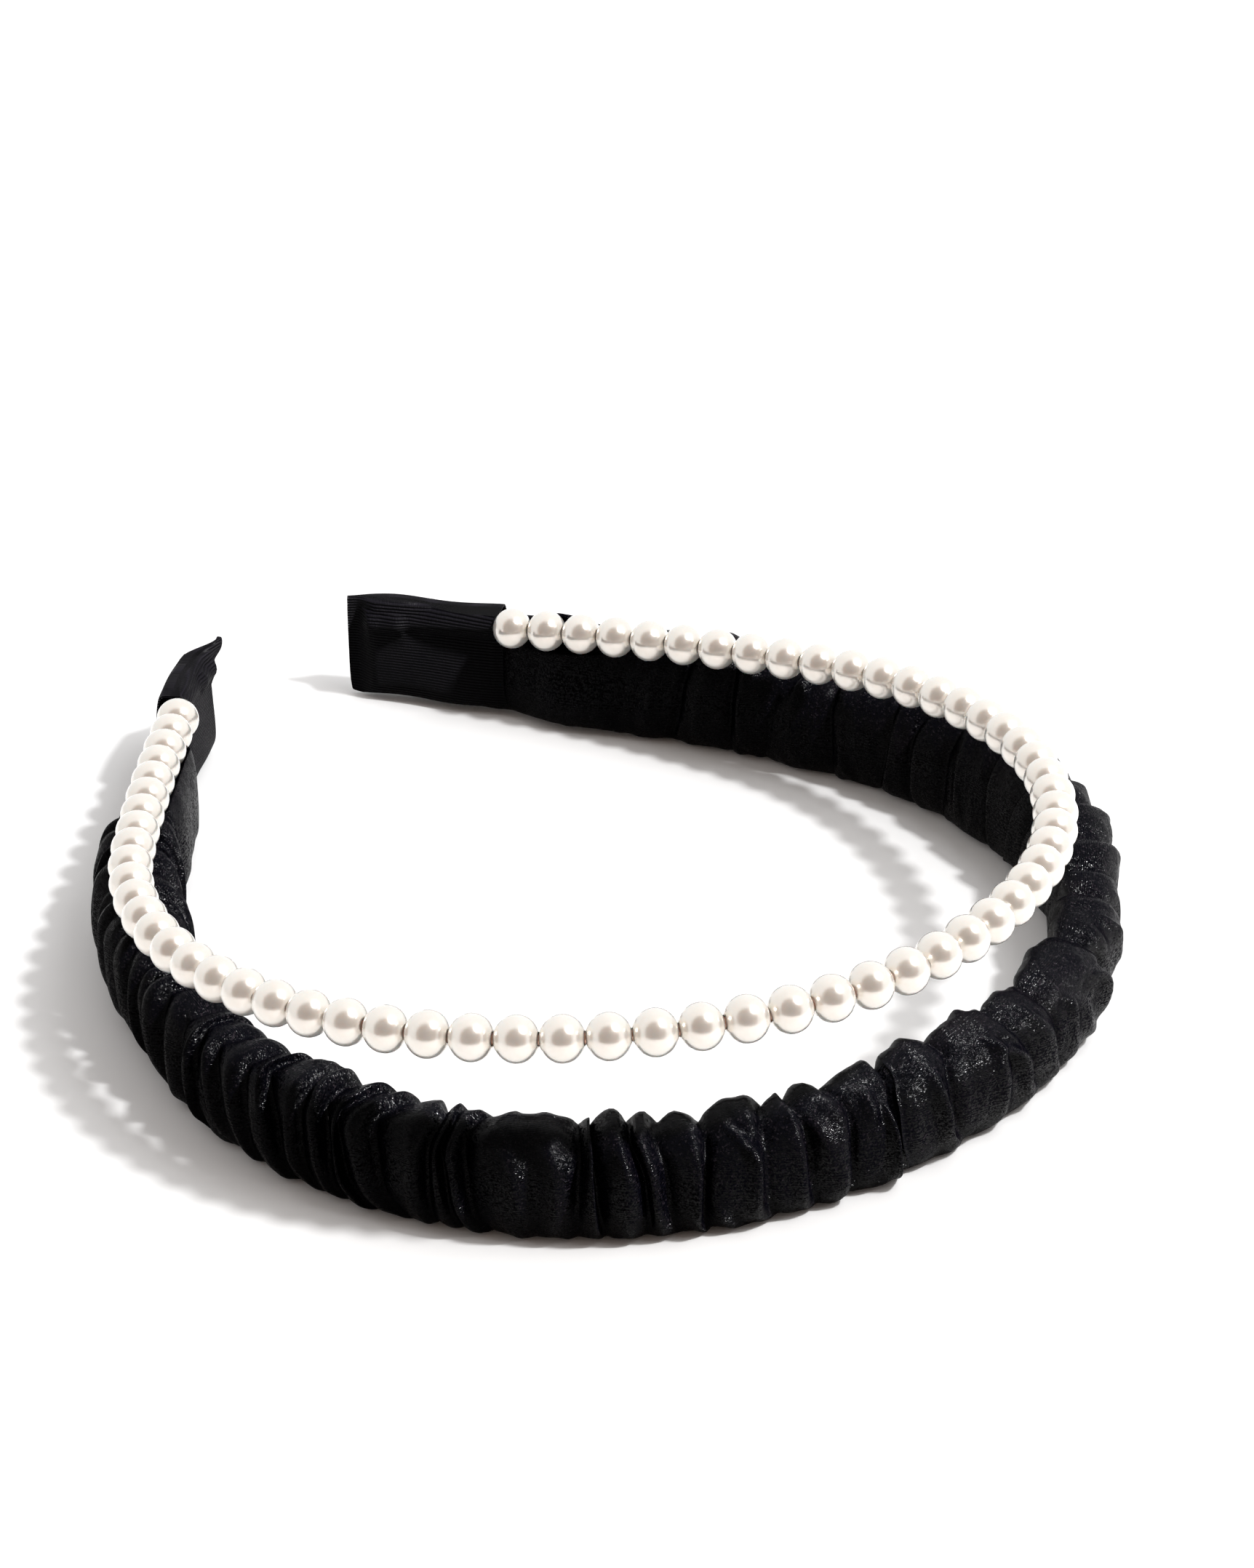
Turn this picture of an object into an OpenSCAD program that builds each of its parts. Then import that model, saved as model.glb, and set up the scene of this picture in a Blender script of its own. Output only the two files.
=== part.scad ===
// Two-row headband: a ruched satin band and a strand of imitation pearls on a
// wire, bound together at both tips by ribbon wraps. It lies on its side: the
// band's lower edge is on z = 0, the crown is towards -Y and the two tips are
// towards +Y. +X is the right arm.
// Every hoop is a chain of arcs tangent to each other, counted from the crown
// outwards. Side offsets are measured across the band: plus is away from the
// head, minus is towards it.

/* [Band path] */
// Radius of the crown arc, both sides
crown_r = 88.5; // [70:0.5:110]
// Crown arc length, right side
right_crown_len = 21; // [10:0.5:30]
// Side arc radius, right arm
right_side_r = 56.4; // [50:0.1:70]
// Side arc length, right arm
right_side_len = 99.5; // [80:0.5:120]
// Rear arc radius, right arm
right_rear_r = 206; // [150:1:400]
// Rear arc length, right arm
right_rear_len = 80; // [70:0.5:90]
// Crown arc length, left side
left_crown_len = 10.5; // [10:0.5:30]
// Side arc radius, left arm
left_side_r = 59.4; // [50:0.1:70]
// Side arc length, left arm
left_side_len = 111.4; // [80:0.5:120]
// Rear arc radius, left arm
left_rear_r = 188; // [150:1:400]
// Rear arc length, left arm
left_rear_len = 78.6; // [70:0.5:90]

/* [Satin cover] */
// Height of the ruched cover
cover_h = 16.4; // [14:0.1:20]
// Thickness of the ruched cover
cover_t = 8.4; // [6:0.1:12]
// Corner radius of the ruched cover
cover_corner = 3.4; // [1:0.1:4]
// Height of the flat cover near the tips
flat_h = 15.3; // [13:0.1:16]
// Lower edge of the flat cover
flat_z = 0.9; // [0.5:0.1:1.5]
// Where the cover turns flat, distance from the tip
flat_from_tip = 42; // [30:0.5:60]

/* [Core strip] */
// Height of the core strip
core_h = 10; // [6:0.5:11]
// Thickness of the core strip
core_t = 1.2; // [0.8:0.1:1.6]
// Lower edge of the core strip
core_z = 2; // [1.5:0.1:3]
// Side offset of the core strip's middle
core_out = 1.3; // [1:0.1:1.6]
// Gap round the core strip inside the cover
core_gap = 0.1; // [0.05:0.05:0.2]

/* [Pearls] */
// Diameter of a pearl
pearl_d = 6; // [5:0.1:8]
// Length of a pearl between its drilled ends
pearl_len = 5.36; // [5:0.02:5.4]
// Spacing of the pearls along the wire
pearl_pitch = 5.6; // [5.5:0.05:6.5]
// Pearls on the left arm
left_pearls = 23; // [20:1:26]
// Pearls on the crown
crown_pearls = 21; // [17:1:25]
// Pearls on the right arm
right_pearls = 20; // [18:1:24]
// Extra gap in the strand where an arm starts to bend
bend_gap = 0.5; // [0.3:0.1:0.8]
// Diameter of the wire
wire_d = 1.5; // [1:0.1:1.6]
// Diameter of the hole through a pearl
pearl_hole = 1.7; // [1.6:0.05:2]

/* [Strand path] */
// Crown point of the strand, distance right of the band's crown
strand_x = -1.34; // [-4:0.1:4]
// Crown point of the strand, distance behind the band's crown
strand_y = -4.05; // [-8:0.1:4]
// Height of the strand's crown point
strand_z = 32.6; // [28:0.1:36]
// Slope of the strand's plane down to the tips
strand_slope = 7.5; // [5:0.1:10]
// Slope of the strand's plane from left to right
strand_roll = -0.6; // [-2:0.1:2]
// Turn of the strand in its own plane
strand_turn = 3.5; // [-5:0.1:5]
// Arc lengths from the crown point to the middle of the strand
strand_shift = -9.2; // [-12:0.1:0]
// Crown arc radius of the strand
strand_crown_r = 54.1; // [45:0.1:70]
// Crown arc length of the strand, right side
strand_right_crown_len = 8; // [4:0.5:20]
// Side arc radius of the strand, right side
strand_right_side_r = 62.7; // [55:0.1:70]
// Side arc length of the strand, right side
strand_right_side_len = 109.6; // [90:0.1:120]
// Rear arc radius of the strand, right side
strand_right_rear_r = 245; // [150:1:600]
// Crown arc length of the strand, left side
strand_left_crown_len = 19; // [4:0.5:25]
// Side arc radius of the strand, left side
strand_left_side_r = 63.8; // [55:0.1:70]
// Side arc length of the strand, left side
strand_left_side_len = 121; // [90:0.1:130]
// Rear arc radius of the strand, left side
strand_left_rear_r = 500; // [150:1:600]

/* [Ribbon wraps] */
// Length of the right wrap
right_wrap_len = 23; // [18:0.5:28]
// Length of the left wrap
left_wrap_len = 18.6; // [16:0.5:28]
// Height of the wraps
wrap_h = 16.8; // [16.5:0.1:18]
// Lower edge of the wraps
wrap_z = 0.3; // [0.2:0.1:0.6]
// Ribbon thickness, all layers together
ribbon_t = 0.7; // [0.5:0.1:1]
// Length of the folded ribbon past the core strip
tip_fold = 3; // [2:0.5:5]

/* [Bending] */
// Radius of the rounded joint between crown and arms
bend_r = 10.4; // [10:0.1:12]
// Gap at the joint between crown and arms
bend_clear = 0.3; // [0.3:0.05:0.6]

/* [Placement] */
// Sideways place of the band's crown in the part's frame
place_x = 0.31; // [-5:0.1:5]
// Front-to-back place of the band's crown in the part's frame
place_y = -70.71; // [-80:0.1:-60]

/* [Hidden] */
$fn = 64;
fit = 0.1;
sliver = 0.01;
lap = 0.1;
$grow = 0;
RIGHT = [[crown_r, right_crown_len], [right_side_r, right_side_len], [right_rear_r, right_rear_len]];
LEFT = [[crown_r, left_crown_len], [left_side_r, left_side_len], [left_rear_r, left_rear_len]];
S_RIGHT = [[strand_crown_r, strand_right_crown_len], [strand_right_side_r, strand_right_side_len],
           [strand_right_rear_r, 100]];
S_LEFT = [[strand_crown_r, strand_left_crown_len], [strand_left_side_r, strand_left_side_len],
          [strand_left_rear_r, 100]];
right_len = right_crown_len + right_side_len + right_rear_len;
left_len = left_crown_len + left_side_len + left_rear_len;
pearls = left_pearls + crown_pearls + right_pearls;

// flat cover: side faces, and the hollow of a wrap that fits over it
flat_in = -0.9;
flat_out = 2.6;
cover_end = 7.2;
core_end = 3.6;

// place along a chain of arcs: [x, y, heading] where arc i begins
function arc_start(arcs, i) = i == 0 ? [0, 0, 0] :
    arc_point(arcs, i - 1, arcs[i - 1][1]);
function arc_point(arcs, i, d) =
    let (b = arc_start(arcs, i), r = arcs[i][0], t = b[2] + d / r * 180 / PI)
    [b[0] + r * (sin(t) - sin(b[2])), b[1] - r * (cos(t) - cos(b[2])), t];
function arc_from(arcs, i) = i == 0 ? 0 : arc_from(arcs, i - 1) + arcs[i - 1][1];
function arc_at(arcs, s, i = 0) = i == len(arcs) - 1 || s <= arc_from(arcs, i) + arcs[i][1] ? i :
    arc_at(arcs, s, i + 1);
function along(arcs, s) = let (i = arc_at(arcs, s)) arc_point(arcs, i, s - arc_from(arcs, i));

// sweeps a flat section (x = side offset, y = height) along arcs from a to b;
// the side arc is a hair larger and laps over its neighbours, so they fuse
module sweep(arcs, a, b) {
    for (i = [0 : len(arcs) - 1]) {
        f = arc_from(arcs, i);
        last = i == len(arcs) - 1;
        side = i == 1;
        s = i == 0 ? a : max(a, f) - (side && a < f ? lap : 0);
        e = last ? b : min(b, f + arcs[i][1]) + (side && b > f + arcs[i][1] ? lap : 0);
        r = arcs[i][0];
        if (e > s && (i > 0 || a < arcs[0][1])) {
            p = arc_point(arcs, i, s - f);
            $grow = side ? sliver : 0;
            translate([p[0], p[1], 0]) rotate([0, 0, p[2]]) translate([0, r, 0])
                rotate([0, 0, -90]) rotate_extrude(angle = (e - s) / r * 180 / PI)
                    translate([r, 0]) children();
        }
    }
}

module right_sweep(a, b) { sweep(RIGHT, a, b) children(); }
module left_sweep(a, b) { mirror([1, 0, 0]) sweep(LEFT, a, b) children(); }

// the strand's own plane
module strand_plane() {
    translate([strand_x, strand_y, strand_z]) rotate([0, -strand_roll, 0])
        rotate([-strand_slope, 0, 0]) rotate([0, 0, strand_turn]) children();
}

// tube of radius r along the strand, from a to b; minus is the left side
module strand_tube(a, b, r) {
    strand_plane() {
        if (b > 0) sweep(S_RIGHT, max(a, -strand_left_crown_len), b) circle(r + $grow);
        if (a < 0) mirror([1, 0, 0])
            sweep(S_LEFT, b > 0 ? strand_left_crown_len : -b, -a) circle(r + $grow);
    }
}

// place of pearl n along the strand, counted from the left tip
function bend_step(n) = n < left_pearls ? -1 : n < left_pearls + crown_pearls ? 0 : 1;
function pearl_s(n) = (n - (pearls - 1) / 2) * pearl_pitch + strand_shift + bend_step(n) * bend_gap;
left_bend_s = (left_pearls - pearls / 2) * pearl_pitch + strand_shift - bend_gap / 2;
right_bend_s = (left_pearls + crown_pearls - pearls / 2) * pearl_pitch + strand_shift + bend_gap / 2;

// puts a child at arc length s of the strand, x along the wire
module on_strand(s) {
    strand_plane() {
        if (s >= 0) {
            p = along(S_RIGHT, s);
            translate([p[0], p[1], 0]) rotate([0, 0, p[2]]) children();
        } else {
            p = along(S_LEFT, -s);
            translate([-p[0], p[1], 0]) rotate([0, 0, -p[2]]) children();
        }
    }
}

// the upright axis that an arm bends about, on the strand
module at_bend(s) {
    p = s >= 0 ? along(S_RIGHT, s) : along(S_LEFT, -s);
    x = s >= 0 ? p[0] : -p[0];
    q = [x * cos(strand_turn) - p[1] * sin(strand_turn), x * sin(strand_turn) + p[1] * cos(strand_turn)];
    translate([strand_x + q[0] * cos(strand_roll), strand_y + q[1] * cos(strand_slope), -1]) children();
}
module bend_disc(s, r) { at_bend(s) cylinder(h = 60, r = r); }
// all that lies past a bend axis, outside the rounded joint
module past_bend(s) {
    at_bend(s) difference() {
        rotate([0, 0, s >= 0 ? right_bend_heading : 180 - left_bend_heading])
            translate([0, -30, 0]) cube([60, 60, 60]);
        translate([0, 0, -1]) cylinder(h = 62, r = bend_r);
    }
}

// where the band passes each bend axis
bend_right = 57; // distance along the band from the crown, right
bend_left = 57;  // and left
right_bend_heading = along(RIGHT, bend_right)[2];
left_bend_heading = along(LEFT, bend_left)[2];

module place() { translate([place_x, place_y, 0]) children(); }

// sections, x = side offset, y = height
module round_rect(x0, x1, y0, y1, r) {
    translate([x0 + r, y0]) square([x1 - x0 - 2 * r, y1 - y0]);
    translate([x0, y0 + r]) square([x1 - x0, y1 - y0 - 2 * r]);
    for (x = [x0 + r, x1 - r], y = [y0 + r, y1 - r]) translate([x, y]) circle(r);
}
module core_section(g = $grow) {
    translate([core_out - core_t / 2 - g, core_z - g]) square([core_t + 2 * g, core_h + 2 * g]);
}
module ruched_section() {
    round_rect(-cover_t / 2 - $grow, cover_t / 2 + $grow, sliver - $grow, cover_h + $grow, cover_corner);
}
module flat_section() { round_rect(flat_in, flat_out, flat_z, flat_z + flat_h, 0.8); }
module core_hollow() { core_section(core_gap + $grow); }

// --- core strip ---------------------------------------------------------
module core_strip_crown() {
    color("dimgray") place() difference() {
        union() {
            right_sweep(-left_crown_len, bend_right + 16) core_section();
            left_sweep(left_crown_len, bend_left + 16) core_section();
        }
        past_bend(right_bend_s);
        past_bend(left_bend_s);
    }
}
module core_strip_left() {
    color("dimgray") place() difference() {
        left_sweep(bend_left, left_len - core_end) core_section();
        bend_disc(left_bend_s, bend_r + bend_clear);
    }
}
module core_strip_right() {
    color("dimgray") place() difference() {
        right_sweep(bend_right, right_len - core_end) core_section();
        bend_disc(right_bend_s, bend_r + bend_clear);
    }
}

// --- satin cover --------------------------------------------------------
module satin_cover_crown() {
    color([0.05, 0.05, 0.07]) place() difference() {
        union() {
            right_sweep(-left_crown_len, bend_right + 16) ruched_section();
            left_sweep(left_crown_len, bend_left + 16) ruched_section();
        }
        union() {
            right_sweep(-left_crown_len, bend_right + 20) core_hollow();
            left_sweep(left_crown_len, bend_left + 20) core_hollow();
        }
        past_bend(right_bend_s);
        past_bend(left_bend_s);
    }
}
// the strand lies in a groove pressed into the top of each arm's cover; the
// groove is on the strand's rear arc
left_groove_from = 145;
right_groove_from = 122;
module satin_cover_left() {
    color([0.05, 0.05, 0.07]) place() difference() {
        union() {
            left_sweep(bend_left, left_len - flat_from_tip) ruched_section();
            left_sweep(left_len - flat_from_tip - 1, left_len - cover_end) flat_section();
        }
        left_sweep(bend_left, left_len - cover_end + 1) core_hollow();
        bend_disc(left_bend_s, bend_r + bend_clear);
        strand_tube(pearl_s(0) - pearl_len / 2 - 0.2, -left_groove_from, pearl_d / 2 + 0.15);
        strand_tube(pearl_s(0) - 30, pearl_s(0), wire_d / 2 + fit);
    }
}
module satin_cover_right() {
    color([0.05, 0.05, 0.07]) place() difference() {
        union() {
            right_sweep(bend_right, right_len - flat_from_tip) ruched_section();
            right_sweep(right_len - flat_from_tip - 1, right_len - cover_end) flat_section();
        }
        right_sweep(bend_right, right_len - cover_end + 1) core_hollow();
        bend_disc(right_bend_s, bend_r + bend_clear);
        strand_tube(right_groove_from, pearl_s(pearls - 1) + pearl_len / 2 + 0.2, pearl_d / 2 + 0.15);
        strand_tube(pearl_s(pearls - 1), pearl_s(pearls - 1) + 30, wire_d / 2 + fit);
    }
}

// --- pearl strand -------------------------------------------------------
module pearl() {
    rotate([0, 90, 0]) rotate_extrude() intersection() {
        circle(d = pearl_d);
        translate([pearl_hole / 2, -pearl_len / 2]) square([pearl_d, pearl_len]);
    }
}
module pearl_row(from, count) {
    for (n = [from : from + count - 1]) on_strand(pearl_s(n)) pearl();
}
module pearls_left() { color("ivory") place() pearl_row(0, left_pearls); }
module pearls_crown() { color("ivory") place() pearl_row(left_pearls, crown_pearls); }
module pearls_right() { color("ivory") place() pearl_row(left_pearls + crown_pearls, right_pearls); }

// the wire ends in the wraps, this far past the middle of the last pearl
left_wire_in_wrap = 16.4;
right_wire_in_wrap = 21;
left_tip_s = pearl_s(0) - left_wire_in_wrap - 0.3;
right_tip_s = pearl_s(pearls - 1) + right_wire_in_wrap + 0.3;
module pearl_wire_left() {
    color([0.75, 0.5, 0.4]) place()
        strand_tube(pearl_s(0) - left_wire_in_wrap, left_bend_s - bend_gap / 2, wire_d / 2);
}
module pearl_wire_crown() {
    color([0.75, 0.5, 0.4]) place()
        strand_tube(left_bend_s + bend_gap / 2, right_bend_s - bend_gap / 2, wire_d / 2);
}
module pearl_wire_right() {
    color([0.75, 0.5, 0.4]) place()
        strand_tube(right_bend_s + bend_gap / 2, pearl_s(pearls - 1) + right_wire_in_wrap, wire_d / 2);
}

// --- end bindings: thread lashed round the core strip and the wire -------
binding_from = 6.8; // from the tip
binding_to = 4.2;
lug_r = wire_d / 2 + fit + 0.3; // thread round the wire
module binding_section() {
    difference() {
        flat_section();
        core_section(core_gap);
    }
}
module lug_zone() { translate([-3, 12.6]) square([8, 6]); }
module end_binding_left() {
    color("black") place() difference() {
        union() {
            left_sweep(left_len - binding_from, left_len - binding_to) binding_section();
            intersection() {
                left_sweep(left_len - binding_from, left_len - binding_to) lug_zone();
                strand_tube(left_tip_s, pearl_s(0), lug_r);
            }
        }
        strand_tube(left_tip_s, pearl_s(0), wire_d / 2 + fit);
    }
}
module end_binding_right() {
    color("black") place() difference() {
        union() {
            right_sweep(right_len - binding_from, right_len - binding_to) binding_section();
            intersection() {
                right_sweep(right_len - binding_from, right_len - binding_to) lug_zone();
                strand_tube(pearl_s(pearls - 1), right_tip_s, lug_r);
            }
        }
        strand_tube(pearl_s(pearls - 1), right_tip_s, wire_d / 2 + fit);
    }
}

// --- ribbon wraps -------------------------------------------------------
module wrap_section() {
    round_rect(flat_in - fit - ribbon_t, flat_out + fit + ribbon_t, wrap_z, wrap_z + wrap_h, 0.9);
}
module wrap_hollow() {
    translate([flat_in - fit, flat_z - fit]) square([flat_out - flat_in + 2 * fit, flat_h + 2 * fit]);
}
module tip_section() { round_rect(-0.4, 2.1, wrap_z + 0.3, wrap_z + wrap_h - 0.2, 0.9); }
// the ribbon stands up in a low ridge where it passes over the wire
ridge_r = lug_r + fit + 0.5;
module ribbon_wrap_left() {
    color([0.08, 0.08, 0.09]) place() difference() {
        union() {
            left_sweep(left_len - left_wrap_len, left_len - tip_fold) wrap_section();
            left_sweep(left_len - tip_fold - 0.5, left_len) tip_section();
            strand_tube(left_tip_s - 0.6, pearl_s(0) - pearl_len / 2 - 0.4, ridge_r);
        }
        left_sweep(left_len - left_wrap_len - 1, left_len - tip_fold - 0.5) wrap_hollow();
        strand_tube(left_tip_s, pearl_s(0), wire_d / 2 + fit);
        strand_tube(left_tip_s, left_tip_s + 5, lug_r + fit);
    }
}
module ribbon_wrap_right() {
    color([0.08, 0.08, 0.09]) place() difference() {
        union() {
            right_sweep(right_len - right_wrap_len, right_len - tip_fold) wrap_section();
            right_sweep(right_len - tip_fold - 0.5, right_len) tip_section();
            strand_tube(pearl_s(pearls - 1) + pearl_len / 2 + 0.4, right_tip_s + 0.6, ridge_r);
        }
        right_sweep(right_len - right_wrap_len - 1, right_len - tip_fold - 0.5) wrap_hollow();
        strand_tube(pearl_s(pearls - 1), right_tip_s, wire_d / 2 + fit);
        strand_tube(right_tip_s - 5, right_tip_s, lug_r + fit);
    }
}

core_strip_crown();
core_strip_left();
core_strip_right();
satin_cover_crown();
satin_cover_left();
satin_cover_right();
pearl_wire_crown();
pearl_wire_left();
pearl_wire_right();
pearls_crown();
pearls_left();
pearls_right();
end_binding_left();
end_binding_right();
ribbon_wrap_left();
ribbon_wrap_right();
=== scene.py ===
"""Looks of the two-row headband: ruched satin band, pearl strand and ribbon wraps. Metres."""
import math

import bpy
import numpy as np
from mathutils import Matrix, Vector


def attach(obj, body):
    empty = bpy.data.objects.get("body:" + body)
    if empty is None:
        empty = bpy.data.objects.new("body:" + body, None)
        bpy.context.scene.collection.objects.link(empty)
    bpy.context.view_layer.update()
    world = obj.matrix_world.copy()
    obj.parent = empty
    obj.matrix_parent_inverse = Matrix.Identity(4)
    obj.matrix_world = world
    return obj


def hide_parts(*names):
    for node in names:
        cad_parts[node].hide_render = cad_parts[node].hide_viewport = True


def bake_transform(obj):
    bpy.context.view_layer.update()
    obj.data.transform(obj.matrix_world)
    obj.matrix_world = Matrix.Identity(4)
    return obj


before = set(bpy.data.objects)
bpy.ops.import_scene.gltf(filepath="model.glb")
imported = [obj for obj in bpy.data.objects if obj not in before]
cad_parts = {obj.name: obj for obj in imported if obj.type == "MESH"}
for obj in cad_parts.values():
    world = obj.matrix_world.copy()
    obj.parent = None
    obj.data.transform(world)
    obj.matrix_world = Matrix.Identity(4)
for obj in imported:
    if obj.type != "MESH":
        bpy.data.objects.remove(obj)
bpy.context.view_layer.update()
scene = bpy.context.scene
MM = 0.001

# ---------------------------------------------------------------- camera
CAM_PLACE = (-0.2784, -0.3962, 0.3052)
CAM_YAW, CAM_PITCH, CAM_ROLL = -36.1, 30.2, -0.2
CAM_LENS = 94.3


def make_camera():
    data = bpy.data.cameras.new("camera")
    data.lens, data.sensor_width, data.sensor_fit = CAM_LENS, 36.0, "AUTO"
    data.clip_start, data.clip_end = 0.01, 20.0
    cam = bpy.data.objects.new("camera", data)
    scene.collection.objects.link(cam)
    turn = Matrix.Rotation(math.radians(CAM_YAW), 4, "Z")
    tip = Matrix.Rotation(math.radians(90 - CAM_PITCH), 4, "X")
    roll = Matrix.Rotation(math.radians(CAM_ROLL), 4, "Z")
    cam.matrix_world = Matrix.Translation(CAM_PLACE) @ turn @ tip @ roll
    scene.camera = cam


make_camera()

# ---------------------------------------------------------------- paths, as in the CAD model
PLACE = np.array([0.31, -70.71, 0.0])
BAND_R = [(88.5, 21), (56.4, 99.5), (206, 80)]
BAND_L = [(88.5, 10.5), (59.4, 111.4), (188, 78.6)]
BAND_LEN = 200.5
STRAND_R = [(54.1, 8), (62.7, 109.6), (245, 100)]
STRAND_L = [(54.1, 19), (63.8, 121), (500, 100)]
STRAND_AT = np.array([-1.34, -4.05, 32.6])
STRAND_SLOPE, STRAND_ROLL, STRAND_TURN = (math.radians(a) for a in (7.5, -0.6, 3.5))
PEARLS, PITCH, SHIFT = 64, 5.6, -9.2
PEARL_R = 3.0
COVER_H, COVER_T = 16.4, 8.4
JOINT_AT = 57.0                                 # place of both flex joints, from the crown
WIRE_END = {"left": 16.4, "right": 21.0}        # from the last pearl's middle to the wire's end
WIRE_DRAWN = {"left": 12.5, "right": 16.0}      # as far as the wire is drawn; the rest is inside the wrap
SIDE_SIGN = {"left": -1, "right": 1}
ANY_PHASE = (0, 6.28)


def along(arcs, s):
    """Points and headings at arc lengths s >= 0 from the crown."""
    s = np.asarray(s, float)
    p, head = np.zeros(s.shape + (2,)), np.zeros(s.shape)
    x = y = t = start = 0.0
    for i, (r, length) in enumerate(arcs):
        m = s >= start - 1e-9
        if i < len(arcs) - 1:
            m = m & (s <= start + length)
        a = t + (s[m] - start) / r
        p[m] = np.stack([x + r * (np.sin(a) - math.sin(t)), y - r * (np.cos(a) - math.cos(t))], -1)
        head[m] = a
        e = t + length / r
        x, y = x + r * (math.sin(e) - math.sin(t)), y - r * (math.cos(e) - math.cos(t))
        t, start = e, start + length
    return p, head


def path(right, left, s):
    """Points, tangents and outward normals in plan, s from the left tip (minus) to the right."""
    s = np.asarray(s, float)
    pr, hr = along(right, np.abs(s))
    pl, hl = along(left, np.abs(s))
    neg = s < 0
    p = np.where(neg[..., None], pl * [-1, 1], pr)
    h = np.where(neg, hl, hr)
    sign = np.where(neg, -1.0, 1.0)
    tangent = np.stack([np.cos(h), np.sin(h) * sign], -1)
    out = np.stack([np.sin(h) * sign, -np.cos(h)], -1)
    return p, tangent, out


def band(s, out, z):
    """Points of the band: s along it, out across it away from the head, z height, in mm."""
    p, _, n = path(BAND_R, BAND_L, s)
    q = p + n * np.asarray(out)[..., None]
    return np.concatenate([q, np.broadcast_to(np.asarray(z)[..., None], q.shape[:-1] + (1,))], -1) + PLACE


def strand_frame():
    ct, st = math.cos(STRAND_TURN), math.sin(STRAND_TURN)
    cs, ss = math.cos(-STRAND_SLOPE), math.sin(-STRAND_SLOPE)
    cr, sr = math.cos(-STRAND_ROLL), math.sin(-STRAND_ROLL)
    turn = np.array([[ct, -st, 0], [st, ct, 0], [0, 0, 1]])
    slope = np.array([[1, 0, 0], [0, cs, -ss], [0, ss, cs]])
    roll = np.array([[cr, 0, sr], [0, 1, 0], [-sr, 0, cr]])
    return roll @ slope @ turn


STRAND_M = strand_frame()


def tilted(v):
    """Plan vectors turned into the strand's own leaning plane."""
    return np.concatenate([v, np.zeros(v.shape[:-1] + (1,))], -1) @ STRAND_M.T


def strand(s):
    """Points, tangents, outward and up directions along the strand, in mm."""
    p, t, n = (tilted(v) for v in path(STRAND_R, STRAND_L, s))
    up = np.broadcast_to(STRAND_M[:, 2], p.shape)
    return p + STRAND_AT + PLACE, t, n, up


def pearl_s(n):
    """Place of pearl n along the strand."""
    return (n - (PEARLS - 1) / 2) * PITCH + SHIFT


# ---------------------------------------------------------------- mesh helpers
def new_mesh(name, verts, faces, uvs=None, round_v=0.0):
    """A smooth mesh from points in mm; uvs are on the flat cloth and round_v is its width, in metres."""
    mesh = bpy.data.meshes.new(name)
    mesh.from_pydata([tuple(v) for v in np.asarray(verts) * MM], [], [tuple(f) for f in faces])
    if uvs is not None:
        layer = mesh.uv_layers.new(name="cloth")
        loops = np.empty(len(mesh.loops), np.int32)
        mesh.loops.foreach_get("vertex_index", loops)
        flat = np.asarray(uvs, float)[loops].reshape(-1, 4, 2)
        if round_v:
            # the quads that close the tube go on counting instead of falling back to nought
            v = flat[..., 1]
            closing = (v.max(1) - v.min(1) > round_v / 2)[:, None]
            flat[..., 1] += round_v * (closing & (v < round_v / 2))
        layer.data.foreach_set("uv", flat.astype(np.float32).ravel())
    mesh.polygons.foreach_set("use_smooth", [True] * len(mesh.polygons))
    mesh.update()
    obj = bpy.data.objects.new(name, mesh)
    scene.collection.objects.link(obj)
    return obj


def grid_faces(rows, cols, base=0, flip=False):
    """Quads of a rows x cols grid of points, closed along the columns."""
    i = np.arange(rows - 1)[:, None]
    j = np.arange(cols)[None, :]
    k = (j + 1) % cols
    q = np.stack([i * cols + j, (i + 1) * cols + j, (i + 1) * cols + k, i * cols + k], -1).reshape(-1, 4)
    return (q[:, ::-1] if flip else q) + base


def grid_normals(g):
    """Unit normals of a grid of points, closed along the columns, pointing out of the tube."""
    a = np.gradient(g, axis=0)
    b = np.roll(g, -1, 1) - np.roll(g, 1, 1)
    n = np.cross(b, a)
    n /= np.linalg.norm(n, axis=-1, keepdims=True) + 1e-12
    middle = g.mean(1, keepdims=True)
    if np.mean(((g - middle) * n).sum(-1)) < 0:
        n = -n
    return n


def smoothstep(a, b, x):
    """0 at a, 1 at b, smooth in between."""
    t = np.clip((np.asarray(x, float) - a) / (b - a), 0, 1)
    return t * t * (3 - 2 * t)


def bump_at(s, start, full, hold, end):
    """Rises from start to full, stays 1 until hold and falls to 0 at end."""
    return smoothstep(start, full, s) * (1 - smoothstep(hold, end, s))


def bend_over(obj, side):
    """Bakes the piece's placement into its mesh; the band's heading at the joint is found but not used."""
    _, t, _ = path(BAND_R, BAND_L, np.array([SIDE_SIGN[side] * JOINT_AT]))
    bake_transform(obj)


# ---------------------------------------------------------------- materials
def material(name):
    """A new material with its node tree and its shader node."""
    m = bpy.data.materials.new(name)
    m.use_nodes = True
    nodes = m.node_tree.nodes
    shader = next(n for n in nodes if n.type == "BSDF_PRINCIPLED")
    return m, m.node_tree, shader


def node(tree, kind, **values):
    """A shader node; each value is set on the input of that name, or else on the node itself."""
    n = tree.nodes.new("ShaderNode" + kind)
    for key, value in values.items():
        if key in n.inputs:
            n.inputs[key].default_value = value
        else:
            setattr(n, key, value)
    return n


def link(tree, a, b):
    tree.links.new(a, b)


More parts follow.
